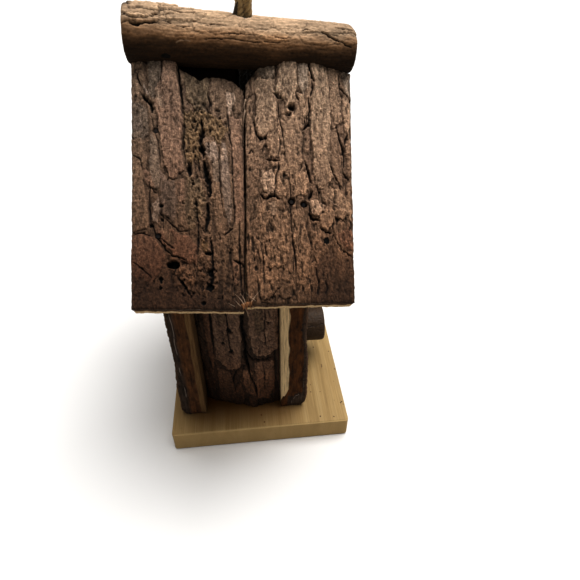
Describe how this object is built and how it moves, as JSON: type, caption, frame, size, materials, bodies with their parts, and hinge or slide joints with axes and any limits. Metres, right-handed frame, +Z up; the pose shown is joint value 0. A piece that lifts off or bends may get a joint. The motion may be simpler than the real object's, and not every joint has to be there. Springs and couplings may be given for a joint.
{
  "type": "hanging bird feeder",
  "caption": "Small hanging bird feeder shaped like a house, built of bark slabs on a pine board, with a ridge log, a log perch, an entrance hole and a twine loop.",
  "frame": {"origin": "middle of the base board's underside", "axes": "+Z up, +X towards the front, where the porch and the perch are, Y along the board's long side"},
  "size_m": [0.11, 0.1624, 0.289],
  "materials": {
    "pine": "bare planed pine, matt",
    "wall_bark": "dark grey-brown plated bark on split wood, rough",
    "roof_bark": "brown ridged and flaking bark on split wood, rough",
    "log_bark": "tan flaking bark, rough",
    "perch_bark": "smooth dark bark with a soft sheen",
    "nail": "plain steel, dull",
    "jute": "twisted natural jute, hairy and matt"
  },
  "bodies": {
    "root": {"base_board": "pine", "back_slab_near": "wall_bark", "front_slab_near": "wall_bark", "side_slab_near": "wall_bark", "roof_slab_near_back": "roof_bark", "roof_slab_near_front": "roof_bark", "back_slab_far": "wall_bark", "front_slab_far": "wall_bark", "side_slab_far": "wall_bark", "roof_slab_far_back": "roof_bark", "roof_slab_far_front": "roof_bark", "ridge_log": "log_bark", "perch_log": "perch_bark", "rope_knot": "jute", "rope_loop": "jute", "roof_nail_1": "nail", "roof_nail_2": "nail", "roof_nail_3": "nail", "roof_nail_4": "nail", "roof_nail_5": "nail", "roof_nail_6": "nail", "roof_nail_7": "nail", "roof_nail_8": "nail", "roof_nail_9": "nail", "board_nail_1": "nail", "board_nail_2": "nail", "board_nail_3": "nail", "board_nail_4": "nail", "board_nail_5": "nail", "board_nail_6": "nail", "corner_nail_front_near": "nail", "corner_nail_back_near": "nail", "corner_nail_front_far": "nail", "corner_nail_back_far": "nail", "ridge_nail_back": "nail", "ridge_nail_front": "nail", "perch_nail_near": "nail", "perch_nail_far": "nail"}
  },
  "joints": []
}
